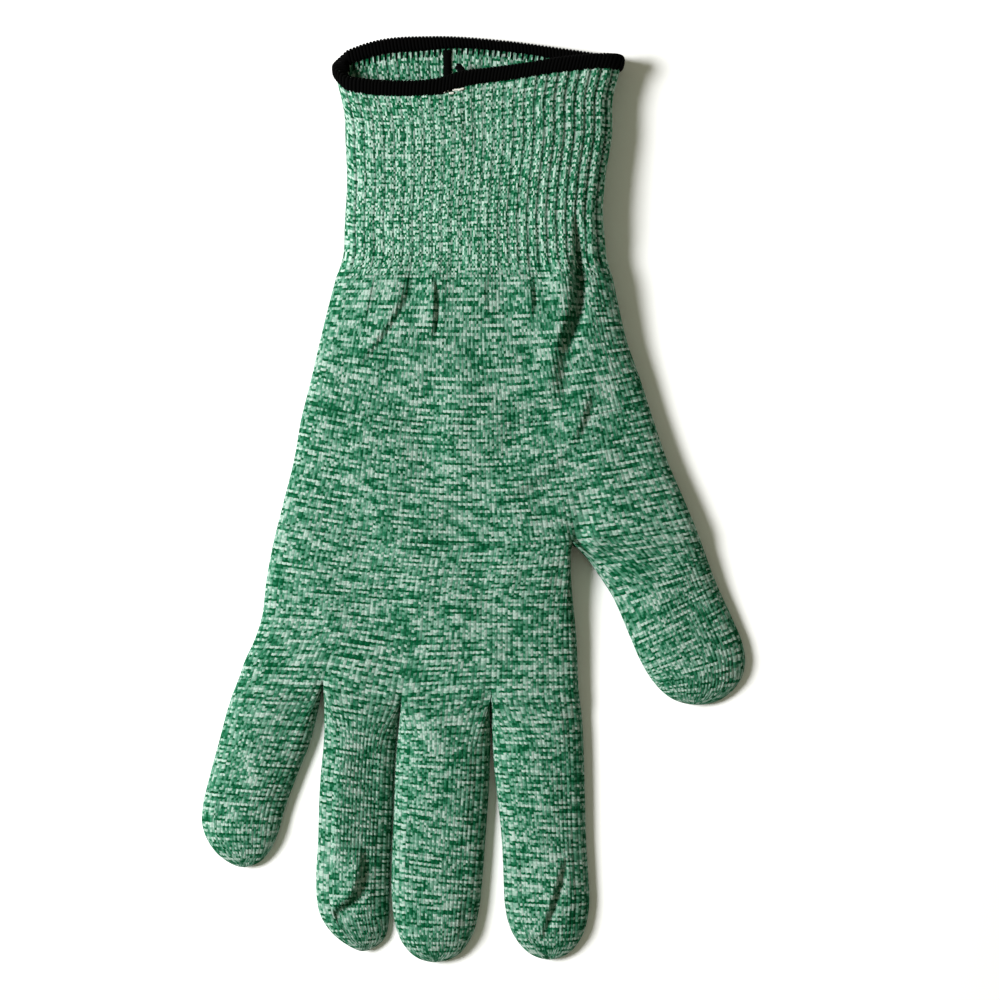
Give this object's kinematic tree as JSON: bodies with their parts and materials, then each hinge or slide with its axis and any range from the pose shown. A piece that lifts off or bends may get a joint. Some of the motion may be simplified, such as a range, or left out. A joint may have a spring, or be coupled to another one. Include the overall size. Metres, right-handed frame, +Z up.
{
  "type": "cut resistant glove",
  "caption": "Seamless knitted cut resistant glove with a ribbed elastic cuff and an overlocked edge, lying flat with its fingers free to curl.",
  "frame": {"origin": "middle of the footprint of the flat glove, on the surface it lies on", "axes": "+X to the thumb's side, +Y from the fingertips to the cuff's mouth, +Z up from the surface, out of the side that shows the inside of the fingers' curl"},
  "size_m": [0.1467, 0.2494, 0.0138],
  "materials": {
    "plain_knit": "heathered green, white and grey yarn in a fine plain knit, matt with a light fuzz",
    "rib_knit": "the same heathered yarn in a 1x1 rib knit, matt",
    "overlock_thread": "black spun thread, slightly glossy",
    "elastic_thread": "covered elastic, pale, matt"
  },
  "bodies": {
    "palm": {"lower_palm": "plain_knit", "upper_palm": "plain_knit"},
    "cuff": {"cuff": "rib_knit", "cuff_binding": "overlock_thread", "cuff_elastic_thread": "elastic_thread", "overlock_tail_back": "overlock_thread", "overlock_tail_front": "overlock_thread"},
    "thumb_base": {"thumb_base": "plain_knit"},
    "thumb_tip": {"thumb_tip": "plain_knit"},
    "index_base": {"index_finger_base": "plain_knit"},
    "index_middle": {"index_finger_middle": "plain_knit"},
    "index_tip": {"index_finger_tip": "plain_knit"},
    "middle_base": {"middle_finger_base": "plain_knit"},
    "middle_middle": {"middle_finger_middle": "plain_knit"},
    "middle_tip": {"middle_finger_tip": "plain_knit"},
    "ring_base": {"ring_finger_base": "plain_knit"},
    "ring_middle": {"ring_finger_middle": "plain_knit"},
    "ring_tip": {"ring_finger_tip": "plain_knit"},
    "little_base": {"little_finger_base": "plain_knit"},
    "little_middle": {"little_finger_middle": "plain_knit"},
    "little_tip": {"little_finger_tip": "plain_knit"}
  },
  "joints": [
    {"name": "wrist_fold", "type": "hinge", "parent": "palm", "child": "cuff", "pos_m": [0, 0.0601, 0.0132], "axis": [1, 0, 0], "range_deg": [0, 75]},
    {"name": "thumb_root_fold", "type": "hinge", "parent": "palm", "child": "thumb_base", "pos_m": [0.04376, -0.00421, 0.0131], "axis": [-0.9143, -0.4051, 0], "range_deg": [0, 60]},
    {"name": "thumb_joint_fold", "type": "hinge", "parent": "thumb_base", "child": "thumb_tip", "pos_m": [0.05652, -0.02808, 0.0124], "axis": [-0.9143, -0.4051, 0], "range_deg": [0, 80]},
    {"name": "index_knuckle_fold", "type": "hinge", "parent": "palm", "child": "index_base", "pos_m": [0.01686, -0.056, 0.0115], "axis": [-1, 0, 0], "range_deg": [0, 90]},
    {"name": "index_middle_joint_fold", "type": "hinge", "parent": "index_base", "child": "index_middle", "pos_m": [0.01823, -0.0815, 0.0113], "axis": [-1, 0, 0], "range_deg": [0, 100]},
    {"name": "index_end_joint_fold", "type": "hinge", "parent": "index_middle", "child": "index_tip", "pos_m": [0.0192, -0.1035, 0.011], "axis": [-1, 0, 0], "range_deg": [0, 70]},
    {"name": "middle_knuckle_fold", "type": "hinge", "parent": "palm", "child": "middle_base", "pos_m": [-0.0074, -0.056, 0.0115], "axis": [-1, 0, 0], "range_deg": [0, 90]},
    {"name": "middle_middle_joint_fold", "type": "hinge", "parent": "middle_base", "child": "middle_middle", "pos_m": [-0.00887, -0.082, 0.0113], "axis": [-1, 0, 0], "range_deg": [0, 100]},
    {"name": "middle_end_joint_fold", "type": "hinge", "parent": "middle_middle", "child": "middle_tip", "pos_m": [-0.01017, -0.104, 0.011], "axis": [-1, 0, 0], "range_deg": [0, 70]},
    {"name": "ring_knuckle_fold", "type": "hinge", "parent": "palm", "child": "ring_base", "pos_m": [-0.02988, -0.056, 0.0113], "axis": [-1, 0, 0], "range_deg": [0, 90]},
    {"name": "ring_middle_joint_fold", "type": "hinge", "parent": "ring_base", "child": "ring_middle", "pos_m": [-0.03126, -0.0805, 0.0111], "axis": [-1, 0, 0], "range_deg": [0, 100]},
    {"name": "ring_end_joint_fold", "type": "hinge", "parent": "ring_middle", "child": "ring_tip", "pos_m": [-0.0326, -0.101, 0.0108], "axis": [-1, 0, 0], "range_deg": [0, 70]},
    {"name": "little_knuckle_fold", "type": "hinge", "parent": "palm", "child": "little_base", "pos_m": [-0.05416, -0.056, 0.0113], "axis": [-1, 0, 0], "range_deg": [0, 90]},
    {"name": "little_middle_joint_fold", "type": "hinge", "parent": "little_base", "child": "little_middle", "pos_m": [-0.05882, -0.0715, 0.0109], "axis": [-1, 0, 0], "range_deg": [0, 100]},
    {"name": "little_end_joint_fold", "type": "hinge", "parent": "little_middle", "child": "little_tip", "pos_m": [-0.06226, -0.0855, 0.0105], "axis": [-1, 0, 0], "range_deg": [0, 70]}
  ],
  "couplings": [
    {"joint": "index_end_joint_fold", "follows": "index_middle_joint_fold", "ratio": 0.67},
    {"joint": "middle_end_joint_fold", "follows": "middle_middle_joint_fold", "ratio": 0.67},
    {"joint": "ring_end_joint_fold", "follows": "ring_middle_joint_fold", "ratio": 0.67},
    {"joint": "little_end_joint_fold", "follows": "little_middle_joint_fold", "ratio": 0.67}
  ]
}
